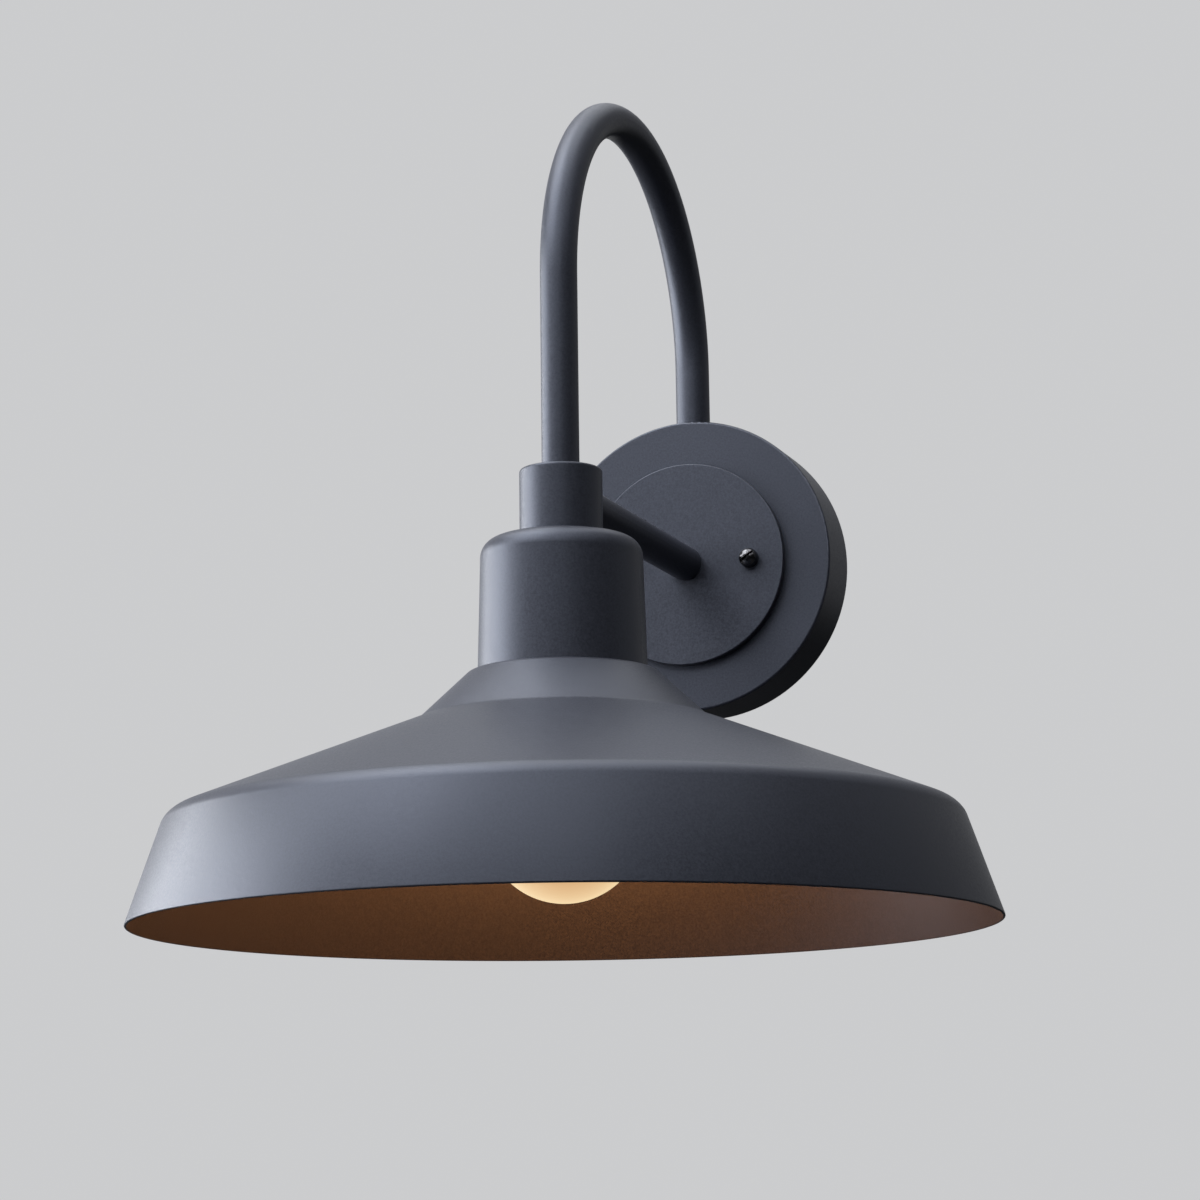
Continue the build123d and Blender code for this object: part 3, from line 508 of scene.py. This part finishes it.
# %% Turning helpers
AXIS_Y = -0.1933
MERGE_DISTANCE = 1e-6


def section(bm, points):
    """A chain of edges through (radius, height) points beside the lamp's axis."""
    verts = [bm.verts.new((radius, AXIS_Y, height)) for radius, height in points]
    for start, end in zip(verts, verts[1:]):
        bm.edges.new((start, end))
    return verts


def round_corner(bm, vert, radius, segments):
    """Replaces one corner of a section by an arc."""
    into, out = [(edge.other_vert(vert).co - vert.co).normalized() for edge in vert.link_edges]
    bend = math.pi - into.angle(out)
    bmesh.ops.bevel(
        bm, geom=[vert], offset=radius * math.tan(bend / 2), offset_type="OFFSET", affect="VERTICES",
        segments=segments, profile=0.5, material=-1,
    )


def turn_round(bm, steps):
    """Spins all edges of a section round the lamp's axis into a closed skin."""
    bmesh.ops.spin(
        bm, geom=bm.verts[:] + bm.edges[:], cent=(0, AXIS_Y, 0), axis=(0, 0, 1), angle=math.tau,
        steps=steps, use_merge=True,
    )
    bmesh.ops.remove_doubles(bm, verts=bm.verts, dist=MERGE_DISTANCE)
    bmesh.ops.recalc_face_normals(bm, faces=bm.faces)


print("pieces turn about y =", AXIS_Y)

# %% [markdown]
# ### From mesh to piece
# A finished mesh is shaded smooth, and only its hard corners stay sharp. It then takes the place of its CAD
# node: it rides on the same body, and the node is hidden.

# %% Piece helper
SHARP_ANGLE = math.radians(38)


def make_piece(name, bm, finish, body, node):
    """Turns a bmesh into a smooth piece that rides on a body and stands for a CAD node."""
    mesh = bpy.data.meshes.new(name)
    bm.to_mesh(mesh)
    bm.free()
    mesh.shade_smooth()
    mesh.set_sharp_from_angle(angle=SHARP_ANGLE)
    mesh.materials.append(finish)
    piece = bpy.data.objects.new(name, mesh)
    bpy.context.scene.collection.objects.link(piece)
    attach(piece, body)
    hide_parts(node)
    return piece


print("corners stay sharp over", round(math.degrees(SHARP_ANGLE)), "degrees")

# %% [markdown]
# ### Shade
# The sheet has a flat top under the cup, a steep neck, a shallow cone and a skirt. It could be put together
# from cones, but their joins would be hard creases, and spun metal bends softly. The section holds only the
# outside, as (radius, height) points from the hole in the top to the rim. The three corners between them are
# rounded, each with its own radius and number of segments. After the spin the skin gets the sheet's
# thickness, and the cut edge at the rim is rounded, because a real rim is burnished so that it doesn't cut
# a hand.

# %% Shade
SHADE_SECTION = {
    "hole": (0.0206, -0.0762),
    "neck_top": (0.0388, -0.0762),
    "crease": (0.0603, -0.0965),
    "corner": (0.1626, -0.1364),
    "rim": (0.1778, -0.1810),
}
SHADE_ROUNDING = {"neck_top": (0.004, 8), "crease": (0.006, 8), "corner": (0.009, 12)}
SHADE_STEPS = 160
SHEET = 0.0012
BURNISH_WIDTH = 0.0005
BURNISH_SEGMENTS = 3
BURNISH_ANGLE = math.radians(60)
shade_bm = bmesh.new()
shade_points = dict(zip(SHADE_SECTION, section(shade_bm, SHADE_SECTION.values())))
for corner_name, (corner_radius, corner_segments) in SHADE_ROUNDING.items():
    round_corner(shade_bm, shade_points[corner_name], corner_radius, corner_segments)
turn_round(shade_bm, SHADE_STEPS)
print("shade skin faces:", len(shade_bm.faces))
shade_piece = make_piece("shade_shell", shade_bm, finishes["charcoal_coat"], "fixture", "shade")
thickness = shade_piece.modifiers.new("sheet", "SOLIDIFY")
thickness.thickness = SHEET
thickness.offset = -1
thickness.use_even_offset = True
burnish = shade_piece.modifiers.new("burnished_rim", "BEVEL")
burnish.width = BURNISH_WIDTH
burnish.segments = BURNISH_SEGMENTS
burnish.limit_method = "ANGLE"
burnish.angle_limit = BURNISH_ANGLE

# %% [markdown]
# ### Globe
# A stretched sphere would miss the flat dome and the narrowing neck of a household bulb, so the globe's
# section is drawn: two arcs and a straight neck. A vertex on the axis is spun into the dome's arc, the end of
# that arc is spun round a nearer centre into the belly, and one more edge runs up to the neck.

# %% Globe
DOME_RADIUS = 0.033
DOME_EDGE = 0.022
DOME_STEPS = 12
BELLY_BEND = 0.0255
BELLY_STEPS = 16
GLOBE_BOTTOM = -0.1717
GLOBE_NECK = (0.024, -0.1127)
GLOBE_STEPS = 96
GLASS = 0.001
NECK_TURN = math.radians(102.7)
dome_turn = math.asin(DOME_EDGE / DOME_RADIUS)


def draw_arc(bm, vert, centre, angle, steps):
    """Spins a vertex of a section into an arc, and gives the arc's last vertex."""
    arc = bmesh.ops.spin(bm, geom=[vert], cent=centre, axis=(0, -1, 0), angle=angle, steps=steps)
    return next(item for item in arc["geom_last"] if isinstance(item, bmesh.types.BMVert))


globe_bm = bmesh.new()
pole = globe_bm.verts.new((0, AXIS_Y, GLOBE_BOTTOM))
dome_centre = Vector((0, AXIS_Y, GLOBE_BOTTOM + DOME_RADIUS))
dome_end = draw_arc(globe_bm, pole, dome_centre, dome_turn, DOME_STEPS)
inward = Vector((-math.sin(dome_turn), 0, math.cos(dome_turn)))
belly_centre = dome_end.co + BELLY_BEND * inward
belly_end = draw_arc(globe_bm, dome_end, belly_centre, NECK_TURN - dome_turn, BELLY_STEPS)
neck_end = globe_bm.verts.new((GLOBE_NECK[0], AXIS_Y, GLOBE_NECK[1]))
globe_bm.edges.new((belly_end, neck_end))
turn_round(globe_bm, GLOBE_STEPS)
print("globe radius:", round(max(vert.co.x for vert in globe_bm.verts), 5))
globe_piece = make_piece("lit_globe", globe_bm, finishes["lit_frost"], "bulb", "bulb_globe")
globe_piece.visible_shadow = False
glass = globe_piece.modifiers.new("glass", "SOLIDIFY")
glass.thickness = GLASS
glass.offset = -1

# %% [markdown]
# ### Wire nuts
# Three caps twist the wires together behind the plate. Each is a tapered plastic cap with a plain skirt at
# its mouth, flutes for the fingers and a bore. One is turned like the shade, from a section that runs from
# the end of the bore out to the mouth and up to the tip. The flutes could be cut out of it, but pressing them
# in keeps the mesh clean: every other pair of its spokes is drawn towards the axis.

# %% One wire nut
NUT_BORE = 0.0095
NUT_SKIRT = 0.0032
NUT_TIP = 0.0152
NUT_EDGE = 0.0004
NUT_SECTION = [
    (0, NUT_BORE),
    (0.0013, NUT_BORE),
    (0.0016, 0),
    (0.0052, 0),
    (0.0055, NUT_EDGE),
    (0.0051, NUT_SKIRT),
    (0.0049, NUT_SKIRT + NUT_EDGE),
    (0.0040, 0.0116),
    (0.0037, 0.0144),
    (0.0031, NUT_TIP),
    (0, NUT_TIP),
]
NUT_FLUTES = 10
SPOKES_PER_FLUTE = 4
NUT_SPOKES = SPOKES_PER_FLUTE * NUT_FLUTES
FLUTE_SHRINK = 0.86
HAIR = 0.0001


def in_flute(vert):
    """Whether a vertex of the grip lies on the half of the spokes that is pressed in."""
    spoke = round(math.atan2(vert.co.y - AXIS_Y, vert.co.x) / math.tau * NUT_SPOKES)
    on_grip = NUT_SKIRT + HAIR < vert.co.z < NUT_TIP - HAIR
    in_bore = abs(vert.co.z - NUT_BORE) < HAIR
    return on_grip and not in_bore and spoke % SPOKES_PER_FLUTE < SPOKES_PER_FLUTE / 2


nut_bm = bmesh.new()
section(nut_bm, NUT_SECTION)
turn_round(nut_bm, NUT_SPOKES)
pressed = [vert for vert in nut_bm.verts if in_flute(vert)]
to_axis = Matrix.Translation((0, -AXIS_Y, 0))
bmesh.ops.scale(nut_bm, vec=(FLUTE_SHRINK, FLUTE_SHRINK, 1), verts=pressed, space=to_axis)
one_nut = bpy.data.meshes.new("one_nut")
nut_bm.to_mesh(one_nut)
nut_bm.free()
print("pressed vertices:", len(pressed))

# %% [markdown]
# ### Three copies
# The nut was turned about the lamp's axis, so each copy is first moved to the origin and then to its seat on
# the wires. A seat is the place of the mouth and the direction from there to the tip.

# %% Three wire nuts
NUT_SEATS = [
    ((0.0076, -0.0170, 0.0422), (1, 0, 0)),
    ((-0.0076, -0.0170, 0.0422), (-1, 0, 0)),
    ((-0.0131, -0.01035, -0.0210), (0, -1, 0)),
]
nuts_bm = bmesh.new()
for mouth, nut_axis in NUT_SEATS:
    first = len(nuts_bm.verts)
    nuts_bm.from_mesh(one_nut)
    nuts_bm.verts.ensure_lookup_table()
    nut_turn = Vector(nut_axis).to_track_quat("Z", "Y").to_matrix().to_4x4()
    seat = Matrix.Translation(mouth) @ nut_turn @ to_axis
    bmesh.ops.transform(nuts_bm, matrix=seat, verts=nuts_bm.verts[first:])
print("wire nut faces:", len(nuts_bm.faces))
make_piece("fluted_wire_nuts", nuts_bm, finishes["orange_plastic"], "fixture", "wire_nuts")

# %% [markdown]
# ## Dressing
# All other pieces keep their CAD shape and place, which are right as they are. Each of them only gets its
# finish, in place of the plain colour that it came with.

# %% Dress the CAD nodes
DRESSING = {
    "charcoal_coat": [
        "backplate", "center_disc", "gooseneck_tube", "brace_tube", "collar", "socket_cup", "shade_ring",
    ],
    "dark_screw": ["canopy_screws"],
    "zinc_plate": [
        "crossbar", "gooseneck_retaining_ring", "gooseneck_bushing", "brace_bushing", "brace_nipple",
        "brace_washer", "brace_nut", "stem_nipple", "stem_washer", "stem_nut", "socket_bracket",
        "bracket_screws",
    ],
    "spun_brass": ["socket_screw_shell", "socket_center_contact", "terminal_screws"],
    "bare_copper": ["ground_lead"],
    "green_paint": ["ground_screw"],
    "foam": ["wall_gasket"],
    "porcelain": ["socket_body"],
    "black_insulation": ["live_lead"],
    "white_insulation": ["neutral_lead"],
    "white_plastic": ["bulb_housing"],
    "rolled_aluminium": ["bulb_cap", "bulb_contact"],
    "black_glass": ["bulb_insulator"],
    "board_laminate": ["bulb_led_board", "bulb_driver_board"],
}
for finish_name, node_names in DRESSING.items():
    for node_name in node_names:
        node_mesh = nodes[node_name].data
        node_mesh.materials.clear()
        node_mesh.materials.append(finishes[finish_name])
print("dressed", sum(len(names) for names in DRESSING.values()), "CAD nodes")

# %% [markdown]
# ## The bulb's own light
# The glow that is seen on the globe is too faint to light the shade, so a warm lamp stands inside the globe,
# where the light board is on the real bulb. The globe casts no shadow, so the light passes through it as
# through frosted glass, and the lamp rides on the bulb.

# %% Warm lamp in the globe
BULB_POWER = 3.0
BULB_COLOUR = (1.0, 0.37, 0.10)
BULB_LIGHT_RADIUS = 0.018
BULB_LIGHT_HEIGHT = -0.152
bulb_data = bpy.data.lights.new("bulb_light", "POINT")
bulb_data.energy = BULB_POWER
bulb_data.color = BULB_COLOUR
bulb_data.shadow_soft_size = BULB_LIGHT_RADIUS
bulb_light = bpy.data.objects.new("bulb_light", bulb_data)
bulb_light.location = (0, AXIS_Y, BULB_LIGHT_HEIGHT)
bpy.context.scene.collection.objects.link(bulb_light)
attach(bulb_light, "bulb")
print("bulb light:", bulb_data.energy, "W")
